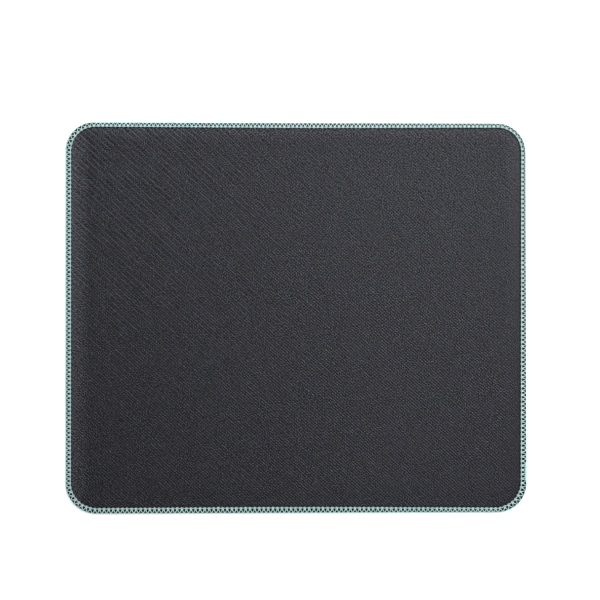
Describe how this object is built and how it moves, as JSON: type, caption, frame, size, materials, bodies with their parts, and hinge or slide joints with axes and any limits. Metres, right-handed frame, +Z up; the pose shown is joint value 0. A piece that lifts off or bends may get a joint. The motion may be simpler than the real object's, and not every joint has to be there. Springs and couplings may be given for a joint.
{
  "type": "mouse pad",
  "caption": "Thin rectangular mouse pad with rounded corners: textured cloth bonded to a foam rubber base, edge bound by a pale overlock seam.",
  "frame": {"origin": "middle of the underside, on the surface that the pad lies on", "axes": "+X along the longer side, +Y along the shorter side away from the user, +Z up out of the cloth"},
  "size_m": [0.25, 0.212, 0.0032],
  "materials": {
    "foam_rubber": "matte black foam rubber with a fine raised non-slip grain",
    "hot_melt_film": "thin cloudy hot-melt adhesive film",
    "cloth": "matte dark grey polyester cloth with a fine diagonal weave",
    "thread": "pale mint twisted polyester thread with a soft sheen"
  },
  "bodies": {
    "root": {"rubber_base": "foam_rubber", "bonding_film": "hot_melt_film", "cloth_face": "cloth", "needle_thread": "thread", "upper_looper_thread": "thread", "lower_looper_thread": "thread"}
  },
  "joints": []
}
